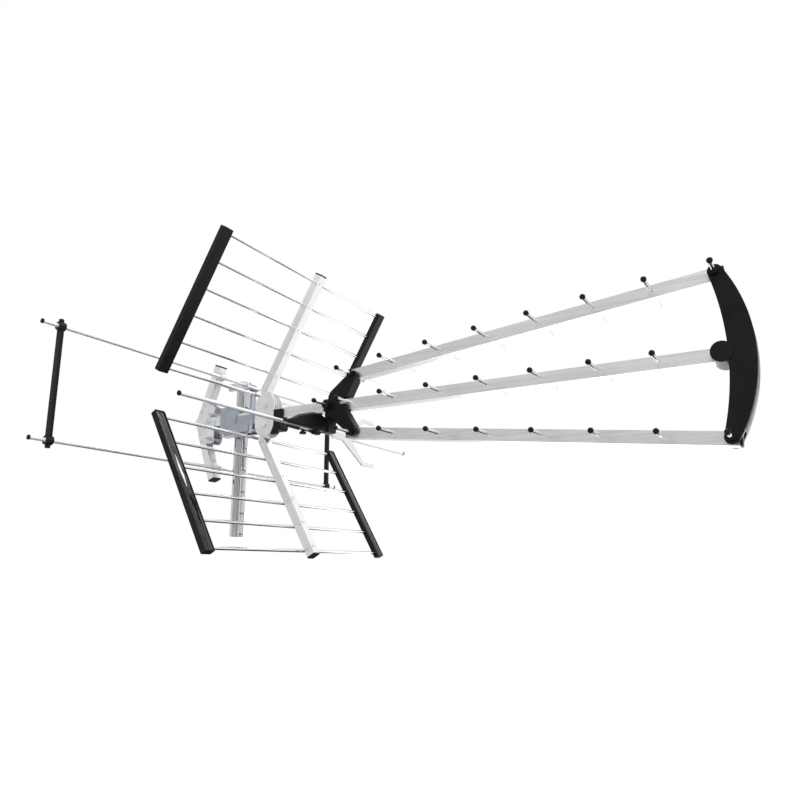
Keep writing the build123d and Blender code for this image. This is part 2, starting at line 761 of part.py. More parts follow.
def mast_tube():
    height = MAST_TOP - MAST_FOOT
    tube = Cylinder(MAST_R, height) - Cylinder(MAST_R - MAST_WALL, height + 2)
    return Pos(0, MAST_Y, (MAST_TOP + MAST_FOOT) / 2) * tube


# Rear frame for the band three reflector rods

def v_place(t):
    """A point on the upper rear arm, t back from its outer end."""
    lean = math.radians(V_LEAN)
    return V_END_X - t * math.sin(lean), V_END_Z - t * math.cos(lean)


def v_piece(shape, side):
    lean = math.radians(V_LEAN)
    out = (math.sin(lean), 0, math.cos(lean))
    normal = (-math.cos(lean), 0, math.sin(lean))
    spot = Plane(origin=(V_END_X, 0, V_END_Z), x_dir=out, z_dir=normal).location
    placed = spot * shape
    return placed if side > 0 else mirror(placed, about=Plane.XY)


def v_arm(side):
    tube = arm_tube(-V_LENGTH, 0.0, V_DEPTH, BOOM, ARM_WALL)
    for t in RIVET_STEPS:
        tube = tube - bar(RIVET_R + GAP, -20, 20, -t, 0)
    return v_piece(tube, side)


def v_plug(side):
    core_y = BOOM / 2 - ARM_WALL - SEAT
    core_z = V_DEPTH / 2 - ARM_WALL - SEAT
    stem = block(-8, 0.5, -core_y, core_y, -core_z, core_z)
    lip_y = BOOM / 2 - 0.3
    lip_z = V_DEPTH / 2 - 0.3
    cover = block(SEAT, 3.0, -lip_y, lip_y, -lip_z, lip_z)
    return v_piece(stem + cover, side)


def gusset_outline():
    top = link((-78.0, 1.0, 13.0), (-64.0, 33.0, 9.5), (-47.0, 25.0, 8.0))
    low = link((-78.0, 1.0, 13.0), (-64.0, -31.0, 11.0), (-47.0, -36.0, 9.5), (-47.0, 0.0, 8.0))
    return top + low


def gusset_bolt_places():
    return [(-50.0, 17.0), (-57.0, 1.0), (-47.4, -35.0)]


def gusset(side):
    y0, y1 = sorted((side * PLATE_IN, side * (PLATE_IN + GUSSET_T)))
    plate = upright(gusset_outline(), y0, y1)
    for x, z in gusset_bolt_places():
        plate = plate - ring(x, z, BOLT_R + GAP, y0 - 1, y1 + 1)
    for t in RIVET_STEPS:
        x, z = v_place(t)
        for mirrored in (z, -z):
            plate = plate - ring(x, mirrored, RIVET_R + GAP, y0 - 1, y1 + 1)
    return plate


def rear_rivets():
    """Flat rivets through both plates and the ends of the rear arms."""
    face = PLATE_IN + GUSSET_T + SEAT
    made = []
    for t in RIVET_STEPS:
        x, z = v_place(t)
        for level in (z, -z):
            stem = bar(RIVET_R, -face - 1.0, face + 1.0, x, level, RIVET_SIDES)
            near = bar(RIVET_HEAD, -face - 1.2, -face, x, level)
            far = bar(RIVET_HEAD, face, face + 1.2, x, level)
            made.append(stem + near + far)
    return group(made)


def rear_bolts():
    """Bolts that squeeze the plates on the boom, heads on the far side."""
    face = PLATE_IN + GUSSET_T + SEAT
    made = []
    for x, z in gusset_bolt_places():
        head = Pos(x, face, z) * hexagon(5.8, 4.0)
        tail = 7.0 if z > -30 else 14.0
        made.append(head + bar(BOLT_R, -face - tail, face + 0.5, x, z))
    return group(made)


def rear_nuts():
    """Two plain nuts and, on the lowest bolt, a wing nut."""
    face = PLATE_IN + GUSSET_T + SEAT
    places = gusset_bolt_places()
    made = [hex_nut(x, -face - 5.0, z, 5.4, 5.0) for x, z in places[:2]]
    x, z = places[2]
    made.append(Rot(0, 0, 180) * wing_nut(-x, face, z, BOLT_R, 10.0))
    return group(made)


def tube_plugs():
    made = boom_plugs() + [v_plug(1), v_plug(-1)]
    return group(made)


def rear_rod(side):
    return bar(VHF_R, -V_HALF, V_HALF, V_X, side * V_Z, LONG_ROD_SIDES)


def rear_clips():
    """Straps bent round each rear rod and laid on the front of its arm."""
    lean = math.radians(V_LEAN)
    dx, dz = V_X - V_END_X, V_Z - V_END_Z
    t = dx * math.sin(lean) + dz * math.cos(lean)
    n = -dx * math.cos(lean) + dz * math.sin(lean)
    front = -V_DEPTH / 2 - SEAT
    base = block(t - 24, t + 7, -6.0, 6.0, front - 1.6, front)
    saddle = block(t - 5.5, t + 5.5, -6.0, 6.0, n, front)
    crown = bar(5.5, -6.0, 6.0, t, n, LONG_ROD_SIDES)
    stud = Pos(t - 19, 0, front - 3.7) * extrude(RegularPolygon(3.0, ROD_SIDES), amount=2.6)
    clip = base + saddle + crown + stud - bar(VHF_R + GAP, -20, 20, t, n, LONG_ROD_SIDES)
    return group([v_piece(clip, 1), v_piece(clip, -1)])


def spacer(far):
    """Upright bar that ties the two rods near their ends."""
    y = far * V_SPACER
    body = block(V_X - 5.2, V_X + 5.2, y - 3.0, y + 3.0, -V_Z, V_Z)
    for side in (1, -1):
        body = body + bar(7.6, y - 6.0, y + 6.0, V_X, side * V_Z, BOSS_SIDES)
    for side in (1, -1):
        body = body - bar(VHF_R + SEAT, y - 10, y + 10, V_X, side * V_Z, LONG_ROD_SIDES)
    return body


def nodes():
    """Every node by name."""
    made = {
        "mast_tube": mast_tube(),
        "clamp_body": clamp_body(),
        "mast_jaw": mast_jaw(),
        "jaw_bolts": jaw_bolts(),
        "jaw_nuts": jaw_nuts(),
        "u_bolt": u_bolt(),
        "u_strap": u_strap(),
        "boom_middle": middle_boom(),
        "boom_top": outer_boom(1),
        "boom_bottom": outer_boom(-1),
        "tube_plugs": tube_plugs(),
        "directors_top": director_set(1),
        "directors_middle": director_set(0),
        "directors_bottom": director_set(-1),
        "director_caps": director_caps(),
        "nose_bracket_upper": nose_half(1),
        "nose_bracket_lower": nose_half(-1),
        "nose_fasteners": nose_fasteners(),
        "rear_bracket_near": rear_half(-1),
        "rear_bracket_far": rear_half(1),
        "rear_bracket_screws": rear_screws(),
        "dipole_housing": dipole_housing(),
        "dipole_cover": dipole_cover(),
        "dipole_fork": dipole_fork(),
        "feed_connector": feed_connector(),
        "stub_rod": stub_rod(),
        "vhf_holder": vhf_holder(),
        "vhf_dipole_rod": vhf_rod(),
        "rod_caps": rod_caps(),
        "head_plate_near": head_plate(-1),
        "head_plate_far": head_plate(1),
        "head_bolts": head_bolts(),
        "head_nuts": head_nuts(),
        "head_block": head_block(),
        "gusset_near": gusset(-1),
        "gusset_far": gusset(1),
        "rear_rivets": rear_rivets(),
        "rear_bolts": rear_bolts(),
        "rear_nuts": rear_nuts(),
        "rear_clips": rear_clips(),
        "spacer_near": spacer(-1),
        "spacer_far": spacer(1),
    }
    for side, name in ((1, "upper"), (-1, "lower")):
        made[f"{name}_knuckle"] = knuckle(side)
        made[f"{name}_arm"] = panel_arm(side)
        made[f"{name}_arm_plug"] = arm_plug(side)
        made[f"{name}_rods"] = panel_rods(side)
        made[f"{name}_rivets"] = panel_rivets(side)
        made[f"{name}_bar_near"] = panel_bar(side, -1)
        made[f"{name}_bar_far"] = panel_bar(side, 1)
        made[f"rear_arm_{name}"] = v_arm(side)
        made[f"rear_rod_{name}"] = rear_rod(side)
    return made


def main():
    os.makedirs("parts", exist_ok=True)
    foot = Pos(0, -MAST_Y, -MAST_FOOT)
    for name, shape in nodes().items():
        export_step(foot * shape, f"parts/{name}.step")


main()
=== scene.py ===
"""Looks for the roof antenna: metals, black mouldings, small fasteners, studio and camera.

Metres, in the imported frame: origin in the middle of the mast's foot, +X to the nose,
+Y along the rods away from the ball caps, +Z up.
"""

import math

import bpy
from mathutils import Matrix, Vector


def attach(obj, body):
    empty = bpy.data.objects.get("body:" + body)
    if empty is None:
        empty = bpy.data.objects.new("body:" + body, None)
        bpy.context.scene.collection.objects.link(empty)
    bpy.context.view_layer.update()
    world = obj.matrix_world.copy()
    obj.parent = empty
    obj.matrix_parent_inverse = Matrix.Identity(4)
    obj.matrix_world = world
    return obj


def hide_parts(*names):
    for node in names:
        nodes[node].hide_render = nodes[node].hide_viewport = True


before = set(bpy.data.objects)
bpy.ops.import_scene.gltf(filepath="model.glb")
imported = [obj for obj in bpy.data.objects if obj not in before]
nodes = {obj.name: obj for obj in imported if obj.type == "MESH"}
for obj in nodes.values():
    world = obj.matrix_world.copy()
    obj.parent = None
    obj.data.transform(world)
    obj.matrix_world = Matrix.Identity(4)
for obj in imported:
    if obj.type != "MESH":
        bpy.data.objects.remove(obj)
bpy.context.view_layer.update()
bpy.ops.object.select_all(action="DESELECT")

# Sizes of the drawing: leans in degrees, the rest in millimetres from the middle boom

PANEL_LEAN, REAR_LEAN, FAN_TILT = 29.9, 20.5, 6.02
ROD_R, LONG_ROD_R = 3.0, 3.25
BALL_R, PLUG_R, THREAD_R, KNOB_R, RECESS_R = 4.45, 3.9, 3.12, 4.2, 1.7
DIRECTOR_HALF, PANEL_HALF, REAR_HALF, DIPOLE_HALF = 64.75, 255.0, 411.3, 337.7
FIRST_X, FIRST_Z, DIRECTOR_PITCH, DIRECTORS = 301.3, 54.7, 89.7, 8
MIDDLE_FIRST_X = 253.5
PANEL_X, PANEL_Z, PANEL_PITCH, PANEL_RODS = 69.6, 43.5, 50.73, 6
REAR_X, REAR_Z = -34.3, 95.4
DIPOLE_X, DIPOLE_Z = 208.7, -38.6
BAR_LENGTH, BAR_INNER, BAR_MIDDLE_Y = 271.15, 9.0, 250.0
STRIP_MARGIN, STRIP_WIDE, STRIP_THICK, STRIP_RISE = 4.6, 17.8, 0.8, 4.2
BOW_X, BOW_Z = 19.5, 74.0
JAW_X, JAW_Z = 25.0, 17.6
PIVOT_X, PIVOT_Z = 95.0, 19.7
SPACER_Y, SPACER_EDGE, SPACER_END = 378.1, 6.0, 12.4

# The drawing's zero on the middle boom, seen from the mast's foot, in metres
BOOM_PLACE = Vector((0.0, -0.030, 0.232))


def mm(x, y, z):
    """A point of the drawing, in millimetres from the middle boom, in the frame's metres."""
    return BOOM_PLACE + Vector((x, y, z)) / 1000.0


# Materials

class Recipe:
    """A material's nodes, added one after the other."""

    def __init__(self, name):
        self.material = bpy.data.materials.new(name)
        self.material.use_nodes = True
        self.tree = self.material.node_tree
        self.shader = self.tree.nodes["Principled BSDF"]
        self.place = self.add("ShaderNodeTexCoord").outputs["Object"]

    def add(self, kind, **values):
        node = self.tree.nodes.new(kind)
        for key, value in values.items():
            setattr(node, key, value)
        return node

    def join(self, source, target):
        self.tree.links.new(source, target)

    def stretched(self, scale, turn=(0.0, 0.0, 0.0)):
        """Object coordinates turned and then stretched, so that a grain follows a tube."""
        mapping = self.add("ShaderNodeMapping", vector_type="TEXTURE")
        mapping.inputs["Rotation"].default_value = [math.radians(a) for a in turn]
        mapping.inputs["Scale"].default_value = [1.0 / s for s in scale]
        self.join(self.place, mapping.inputs["Vector"])
        return mapping.outputs["Vector"]

    def noise(self, vector, scale=1.0, detail=3.0, roughness=0.5):
        texture = self.add("ShaderNodeTexNoise")
        texture.inputs["Scale"].default_value = scale
        texture.inputs["Detail"].default_value = detail
        texture.inputs["Roughness"].default_value = roughness
        self.join(vector, texture.inputs["Vector"])
        return texture.outputs["Fac"]

    def tint(self, factor, stops):
        """The base colour by a factor; each stop is a place and a colour."""
        ramp = self.add("ShaderNodeValToRGB")
        steps = ramp.color_ramp.elements
        while len(steps) < len(stops):
            steps.new(0.5)
        for step, (place, colour) in zip(steps, stops):
            step.position = place
            step.color = (*colour, 1.0)
        self.join(factor, ramp.inputs["Fac"])
        self.join(ramp.outputs["Color"], self.shader.inputs["Base Color"])

    def roughen(self, factor, low, high):
        """The roughness from low to high while a factor goes from 0.3 to 0.7."""
        reach = self.add("ShaderNodeMapRange")
        reach.inputs["From Min"].default_value = 0.3
        reach.inputs["From Max"].default_value = 0.7
        reach.inputs["To Min"].default_value = low
        reach.inputs["To Max"].default_value = high
        self.join(factor, reach.inputs["Value"])
        self.join(reach.outputs["Result"], self.shader.inputs["Roughness"])

    def bump(self, height, strength, distance):
        bump = self.add("ShaderNodeBump")
        bump.inputs["Strength"].default_value = strength
        bump.inputs["Distance"].default_value = distance
        self.join(height, bump.inputs["Height"])
        self.join(bump.outputs["Normal"], self.shader.inputs["Normal"])


def drawn_metal(name, tint, rough, turn=(0.0, 0.0, 0.0), contrast=0.06):
    """Drawn metal: long faint streaks along the tube, fine scratches and soft cloudiness."""
    made = Recipe(name)
    made.shader.inputs["Metallic"].default_value = 1.0
    streaks = made.noise(made.stretched((3.0, 260.0, 260.0), turn), 1.0, 4.0, 0.6)
    clouds = made.noise(made.place, 14.0, 3.0)
    both = made.add("ShaderNodeMath", operation="ADD")
    made.join(streaks, both.inputs[0])
    made.join(clouds, both.inputs[1])
    half = made.add("ShaderNodeMath", operation="MULTIPLY")
    made.join(both.outputs[0], half.inputs[0])
    half.inputs[1].default_value = 0.5
    low = [c * (1.0 - contrast) for c in tint]
    high = [min(1.0, c * (1.0 + contrast)) for c in tint]
    made.tint(half.outputs[0], [(0.38, low), (0.62, high)])
    made.roughen(streaks, rough * 0.75, rough * 1.3)
    scratches = made.noise(made.stretched((4.0, 420.0, 420.0), turn), 1.0, 1.0)
    made.bump(scratches, 0.05, 0.0002)
    return made.material


def moulded(name, tint, rough, grain=900.0, depth=0.00006, shine=0.18):
    """Moulded plastic: fine grain, soft patches of sheen and a little dust."""
    made = Recipe(name)
    patches = made.noise(made.place, 22.0, 4.0, 0.6)
    dusty = [c * 1.5 + 0.001 for c in tint]
    made.tint(patches, [(0.35, tint), (0.75, dusty)])
    made.roughen(patches, rough * 0.8, rough * 1.25)
    made.shader.inputs["Specular IOR Level"].default_value = shine
    made.bump(made.noise(made.place, grain, 2.0), 0.35, depth)
    return made.material


def plated(name, tint, rough, scale=160.0):
    """Zinc plating or a cast skin: small clouded grains with a soft shine."""
    made = Recipe(name)
    made.shader.inputs["Metallic"].default_value = 1.0
    grains = made.add("ShaderNodeTexVoronoi")
    grains.inputs["Scale"].default_value = scale
    made.join(made.place, grains.inputs["Vector"])
    clouds = made.noise(made.place, 40.0, 4.0, 0.6)
    low = [c * 0.86 for c in tint]
    made.tint(clouds, [(0.35, low), (0.65, tint)])
    made.roughen(clouds, rough * 0.7, rough * 1.3)
    made.bump(grains.outputs["Distance"], 0.1, 0.0002)
    return made.material


BOOM_TINT = (0.86, 0.865, 0.87)
REAR_TINT = (0.84, 0.845, 0.85)
BLACK_TINT = (0.006, 0.006, 0.007)
PANEL_TURN, REAR_TURN = 90 - PANEL_LEAN, 90 - REAR_LEAN

boom_metal = drawn_metal("boom_aluminium", BOOM_TINT, 0.30)
rod_metal = drawn_metal("rod_aluminium", (0.78, 0.79, 0.80), 0.16, turn=(0, 0, 90))
long_rod_metal = drawn_metal("long_rod_aluminium", (0.92, 0.93, 0.94), 0.55, turn=(0, 0, 90))
upper_arm_metal = drawn_metal("upper_arm_aluminium", BOOM_TINT, 0.28, turn=(0, -PANEL_TURN, 0))
lower_arm_metal = drawn_metal("lower_arm_aluminium", BOOM_TINT, 0.28, turn=(0, PANEL_TURN, 0))
upper_rear_metal = drawn_metal("upper_rear_aluminium", REAR_TINT, 0.34, turn=(0, -REAR_TURN, 0))
lower_rear_metal = drawn_metal("lower_rear_aluminium", REAR_TINT, 0.34, turn=(0, REAR_TURN, 0))
# The mast's streaks are twice as strong as on the other metals: partly drawn die-lines, partly painted
# reflection bands of the polished tube
mast_metal = drawn_metal("mast_steel", (0.56, 0.56, 0.58), 0.04, turn=(0, 90, 0), contrast=0.12)
zinc = plated("zinc_plate", (0.88, 0.89, 0.90), 0.52)
clamp_skin = plated("clamp_casting", (0.47, 0.505, 0.57), 0.34, 260.0)
black_plastic = moulded("black_moulding", BLACK_TINT, 0.46)
gloss_plastic = moulded("black_gloss_moulding", BLACK_TINT, 0.30, 600.0, 0.00003)
polished_plastic = moulded("black_polished_floor", (0.008, 0.008, 0.009), 0.03, 90.0, 0.000004, shine=0.5)

DRESSED = {
    boom_metal: ["boom_middle", "boom_top", "boom_bottom"],
    rod_metal: ["directors_top", "directors_middle", "directors_bottom", "vhf_dipole_rod", "upper_rods",
                "lower_rods", "rear_rod_upper", "rear_rod_lower", "rear_rivets"],
    upper_arm_metal: ["upper_arm", "upper_rivets"],
    lower_arm_metal: ["lower_arm", "lower_rivets"],
    upper_rear_metal: ["rear_arm_upper"],
    lower_rear_metal: ["rear_arm_lower"],
    mast_metal: ["mast_tube"],
    zinc: ["jaw_bolts", "jaw_nuts", "u_bolt", "u_strap", "head_bolts", "head_nuts", "head_plate_near",
           "head_plate_far", "gusset_near", "gusset_far", "rear_bolts", "rear_nuts", "rear_clips",
           "feed_connector", "dipole_fork", "upper_knuckle", "lower_knuckle"],
    clamp_skin: ["clamp_body", "mast_jaw"],
    gloss_plastic: ["nose_bracket_upper", "nose_bracket_lower", "upper_bar_near", "upper_bar_far",
                    "lower_bar_near", "lower_bar_far", "dipole_cover"],
    black_plastic: ["tube_plugs", "director_caps", "rear_bracket_near", "rear_bracket_far",
                    "dipole_housing", "stub_rod", "vhf_holder", "rod_caps", "head_block",
                    "upper_arm_plug", "lower_arm_plug", "nose_fasteners", "rear_bracket_screws",
                    "spacer_near", "spacer_far"],
}

for material, names in DRESSED.items():
    for name in names:
        mesh = nodes[name].data
        mesh.materials.clear()
        mesh.materials.append(material)

# Edges: each CAD node keeps its mesh, and a narrow bevel catches the light

ROUNDED = {
    0.0012: ["nose_bracket_upper", "nose_bracket_lower", "rear_bracket_near", "rear_bracket_far"],
    0.0008: ["upper_bar_near", "upper_bar_far", "lower_bar_near", "lower_bar_far", "clamp_body", "mast_jaw",
             "head_block", "dipole_housing", "upper_knuckle", "lower_knuckle", "vhf_holder"],
    0.0003: ["head_plate_near", "head_plate_far", "gusset_near", "gusset_far", "u_strap", "rear_clips",
             "dipole_fork", "head_bolts", "head_nuts", "jaw_bolts", "jaw_nuts", "rear_bolts", "rear_nuts"],
}


def round_edges(node, width):
    weld = node.modifiers.new("merged", "WELD")
    weld.merge_threshold = 0.00001
    bevel = node.modifiers.new("rounded", "BEVEL")
    bevel.width = width
    bevel.segments = 2
    bevel.limit_method = "ANGLE"
    bevel.angle_limit = math.radians(40)
    bevel.harden_normals = True
    bevel.use_clamp_overlap = True


for width, names in ROUNDED.items():
    for name in names:
        round_edges(nodes[name], width)

# Tools for the new pieces


def settle(piece):
    """Leaves the object at the origin, unturned, with its place in the mesh."""
    bpy.ops.object.select_all(action="DESELECT")
    piece.select_set(True)
    bpy.context.view_layer.objects.active = piece
    bpy.ops.object.transform_apply(location=True, rotation=True, scale=True)
    return piece


def soften(piece, width, segments=2):
    """A small round on the sharp edges, in millimetres, applied, and smooth shading."""
    bevel = piece.modifiers.new("soft", "BEVEL")
    bevel.width = width / 1000
    bevel.segments = segments
    bevel.limit_method = "ANGLE"
    bevel.angle_limit = math.radians(60)
    bpy.ops.object.modifier_apply(modifier=bevel.name)
    bpy.ops.object.shade_smooth_by_angle(angle=math.radians(40))
    return piece


def twin(piece):
    """A copy with its own mesh."""
    copy = piece.copy()
    copy.data = piece.data.copy()
    bpy.context.collection.objects.link(copy)
    return copy


def joined(first, *others):
    """One object out of several, under the first one's name."""
    bpy.ops.object.select_all(action="DESELECT")
    for piece in (first, *others):
        piece.select_set(True)
    bpy.context.view_layer.objects.active = first
    if others:
        bpy.ops.object.join()
    return first


def finished(piece, name, body, material, replaced=()):
    """Names and paints a piece, and ties it to the body that it rides on."""
    piece.name = name
    piece.data.materials.clear()
    piece.data.materials.append(material)
    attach(piece, body)
    if replaced:
        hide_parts(*replaced)


def placed(model, name, places, body, material, replaced=()):
    """Copies of one modelled piece, each with its own mesh, set at X and Z and joined."""
    copies = []
    for x, z in places:
        copy = twin(model)
        copy.location = mm(x, 0, z)
        copies.append(settle(copy))
    bpy.data.objects.remove(model)
    finished(joined(*copies), name, body, material, replaced)


def cylinder(radius, length, middle, turn, sides):
    """A plain cylinder, in metres and degrees."""
    bpy.ops.object.select_all(action="DESELECT")
    bpy.ops.mesh.primitive_cylinder_add(
        vertices=sides, radius=radius, depth=length, location=middle,
        rotation=[math.radians(a) for a in turn])
    return settle(bpy.context.active_object)


def round_bar(radius, y0, y1, soft=0.5, sides=28):
    """A round bar along Y between two stations, in millimetres."""
    middle = (0, (y0 + y1) / 2000, 0)
    return soften(cylinder(radius / 1000, (y1 - y0) / 1000, middle, (90, 0, 0), sides), soft)


# Round pieces, drawn smooth in place of the solids with few sides


def fan_places(side):
    """X and Z of the directors on the top or bottom boom."""
    tilt = math.radians(FAN_TILT)
    steps = [DIRECTOR_PITCH * k for k in range(DIRECTORS)]
    return [(FIRST_X + s * math.cos(tilt), side * (FIRST_Z + s * math.sin(tilt))) for s in steps]


def middle_places():
    """X and Z of the directors on the middle boom, the first of them closer to the feed."""
    steps = [DIRECTOR_PITCH * k for k in range(DIRECTORS - 1)]
    return [(MIDDLE_FIRST_X, 0.0)] + [(FIRST_X + s, 0.0) for s in steps]


def panel_places(side):
    """X and Z of the rods of one reflector panel."""
    lean = math.radians(PANEL_LEAN)
    steps = [PANEL_PITCH * k for k in range(PANEL_RODS)]
    return [(PANEL_X + s * math.sin(lean), side * (PANEL_Z + s * math.cos(lean))) for s in steps]


def ball_cap(radius, y_end):
    """A ball with a short collar round the end of a rod."""
    bpy.ops.object.select_all(action="DESELECT")
    bpy.ops.mesh.primitive_uv_sphere_add(
        segments=24, ring_count=14, radius=radius / 1000, location=(0, (y_end - 0.2) / 1000, 0),
        rotation=(math.radians(90), 0, 0), scale=(1, 1, 0.92))
    ball = settle(bpy.context.active_object)
    bpy.ops.object.shade_smooth()
    return joined(ball, round_bar(radius * 0.82, y_end + 0.5, y_end + 4.2, 0.5, 24))


def end_plug(radius, y_end):
    """A short flat ended cap over the end of a long rod, with a rolled rim."""
    cap = round_bar(radius, y_end - 1.8, y_end + 1.2, 0.6)
    return joined(cap, round_bar(radius + 0.3, y_end - 0.6, y_end + 0.4, 0.3))


def both_ends(radius, half):
    """One plug on the near end and its twin, turned round, on the far end."""
    near = end_plug(radius, -half)
    far = twin(near)
    far.rotation_euler = (0, 0, math.radians(180))
    return joined(near, settle(far))


FANS = {"top": fan_places(1), "bottom": fan_places(-1), "middle": middle_places()}
for name, places in FANS.items():
    director = round_bar(ROD_R, -DIRECTOR_HALF, DIRECTOR_HALF, 0.8)
    placed(director, "round_directors_" + name, places, "antenna", rod_metal,
           ["directors_" + name])
placed(ball_cap(BALL_R, -DIRECTOR_HALF), "director_balls", FANS["middle"] + FANS["top"] + FANS["bottom"],
       "antenna", black_plastic, ["director_caps"])

for side, half in ((1, "upper"), (-1, "lower")):
    placed(round_bar(ROD_R, -PANEL_HALF, PANEL_HALF), f"round_{half}_rods", panel_places(side),
           half + "_panel", rod_metal, [half + "_rods"])

REAR_PLACES = [(REAR_X, REAR_Z), (REAR_X, -REAR_Z)]
DIPOLE_PLACE = [(DIPOLE_X, DIPOLE_Z)]
placed(round_bar(LONG_ROD_R, -REAR_HALF, REAR_HALF), "round_rear_rods", REAR_PLACES, "antenna",
       long_rod_metal, ["rear_rod_upper", "rear_rod_lower"])
placed(round_bar(LONG_ROD_R, -DIPOLE_HALF, DIPOLE_HALF), "round_dipole_rod", DIPOLE_PLACE, "antenna",
       long_rod_metal, ["vhf_dipole_rod"])
placed(both_ends(PLUG_R, REAR_HALF), "rear_rod_plugs", REAR_PLACES, "antenna", black_plastic,
       ["rod_caps"])
placed(both_ends(PLUG_R, DIPOLE_HALF), "dipole_rod_plugs", DIPOLE_PLACE, "antenna", black_plastic,
       ["rod_caps"])

# Polished floors of the four end bars, set just under their rims


def bar_floor(side, y):
    """A flat strip between the walls of one end bar, in the lean of its panel."""
    lean = math.radians(PANEL_LEAN)
    along = BAR_LENGTH / 2 - BAR_INNER
    x = PANEL_X + along * math.sin(lean) - side * STRIP_RISE * math.cos(lean)
    z = side * (PANEL_Z + along * math.cos(lean)) + STRIP_RISE * math.sin(lean)
    size = Vector((BAR_LENGTH - STRIP_MARGIN, STRIP_WIDE, STRIP_THICK)) / 1000
    bpy.ops.object.select_all(action="DESELECT")
    bpy.ops.mesh.primitive_cube_add(size=1.0, scale=size)
    strip = settle(bpy.context.active_object)
    strip.rotation_euler = (0, -side * (math.pi / 2 - lean), 0)
    strip.location = mm(x, y, z)
    return soften(settle(strip), 0.15)


for side, body in ((1, "upper_panel"), (-1, "lower_panel")):
    for y, end in ((-BAR_MIDDLE_Y, "near"), (BAR_MIDDLE_Y, "far")):
        finished(bar_floor(side, y), f"{body}_{end}_bar_floor", body, polished_plastic)

# Threads, drawn as close rings, the small knobs, and the recesses of the fasteners as dark bars of painted
# shade


def thread(radius, y0, y1, pitch=1.0):
    """A run of thread ridges along Y between two stations, in millimetres."""
    ridge = round_bar(radius, y0, y0 + 0.62 * pitch, 0.22, 20)
    run = ridge.modifiers.new("run", "ARRAY")
    run.count = int((y1 - y0) / pitch)
    run.use_relative_offset = False
    run.use_constant_offset = True
    run.constant_offset_displace = (0.0, pitch / 1000, 0.0)
    bpy.ops.object.modifier_apply(modifier=run.name)
    return ridge


def recess_shade_bars(radius, y_face):
    """The cross recess of a screw, drawn as two dark bars just proud of the head: painted shade where the
    hollow would be.
    """
    bars = []
    for turn in (20.0, 110.0):
        bpy.ops.object.select_all(action="DESELECT")
        bpy.ops.mesh.primitive_cube_add(
            size=1.0, location=(0, y_face / 1000, 0), rotation=(0, math.radians(turn), 0),
            scale=(2 * radius / 1000, 0.0003, 0.5 * radius / 1000))
        bars.append(settle(bpy.context.active_object))
    return joined(*bars)


def knob(y, z0, z1):
    """A short rounded stub on the end of a spacer, upright along Z, in millimetres."""
    middle = (0, y / 1000, (z0 + z1) / 2000)
    return soften(cylinder(KNOB_R / 1000, (z1 - z0) / 1000, middle, (0, 0, 0), 28), 0.8, 3)


JAW_PLACES = [(x, z) for x in (-JAW_X, JAW_X) for z in (-JAW_Z, JAW_Z)]
THREADS = {
    "bow_threads": (-11.8, 6.2, [(-BOW_X, BOW_Z), (BOW_X, BOW_Z)]),
    "jaw_bolt_threads": (21.6, 38.6, JAW_PLACES),
    "jaw_bolt_ends": (55.4, 61.0, JAW_PLACES),
    "pivot_bolt_threads": (19.2, 25.8, [(PIVOT_X, PIVOT_Z), (PIVOT_X, -PIVOT_Z)]),
    "rear_bolt_threads": (-26.4, -18.9, [(-47.4, -35.0)]),
}
RECESSES = {
    "nose_screw_recesses": (-21.42, [(937.6, 89.2), (949.4, 21.4)]),
    "rear_screw_recesses": (-16.42, [(287.3, 35.5), (287.3, -35.5), (257.5, -15.0)]),
}
for name, (y0, y1, places) in THREADS.items():
    placed(thread(THREAD_R, y0, y1), name, places, "antenna", zinc)
# The screw recesses are dark bars on the heads: painted shade in place of the hollow
for name, (y_face, places) in RECESSES.items():
    placed(recess_shade_bars(RECESS_R, y_face), name, places, "antenna", black_plastic)
for y, end in ((-SPACER_Y, "near"), (SPACER_Y, "far")):
    placed(knob(y, SPACER_EDGE, SPACER_END), f"spacer_{end}_top_knob", [(REAR_X, REAR_Z)], "antenna",
           black_plastic)
    placed(knob(y, -SPACER_END, -SPACER_EDGE), f"spacer_{end}_low_knob", [(REAR_X, -REAR_Z)], "antenna",
           black_plastic)

# Studio, in metres, degrees and watts

FLOOR_Z = -1.1
SKY_GREY = (0.62, 0.64, 0.67, 1.0)
WHITE = (1.0, 1.0, 1.0, 1.0)
MIDDLE = (0.4, -0.03, 0.25)
LOWER_BAR = (0.121, -0.28, 0.104)


def studio_world():
    """White to the camera and in reflections; a plain soft grey as light."""
    world = bpy.data.worlds.new("studio")
    bpy.context.scene.world = world
    world.use_nodes = True
    tree = world.node_tree
    path = tree.nodes.new("ShaderNodeLightPath")
    seen = tree.nodes.new("ShaderNodeMath")
    seen.operation = "MAXIMUM"
    tree.links.new(path.outputs["Is Camera Ray"], seen.inputs[0])
    through = tree.nodes.new("ShaderNodeMath")
    through.operation = "MAXIMUM"
    tree.links.new(path.outputs["Is Glossy Ray"], through.inputs[0])
    tree.links.new(path.outputs["Is Transmission Ray"], through.inputs[1])
    tree.links.new(through.outputs[0], seen.inputs[1])
    mix = tree.nodes.new("ShaderNodeMix")
    mix.data_type = "RGBA"
    mix.inputs["A"].default_value = SKY_GREY
    mix.inputs["B"].default_value = WHITE
    tree.links.new(seen.outputs[0], mix.inputs["Factor"])
    tree.links.new(mix.outputs["Result"], tree.nodes["Background"].inputs["Color"])


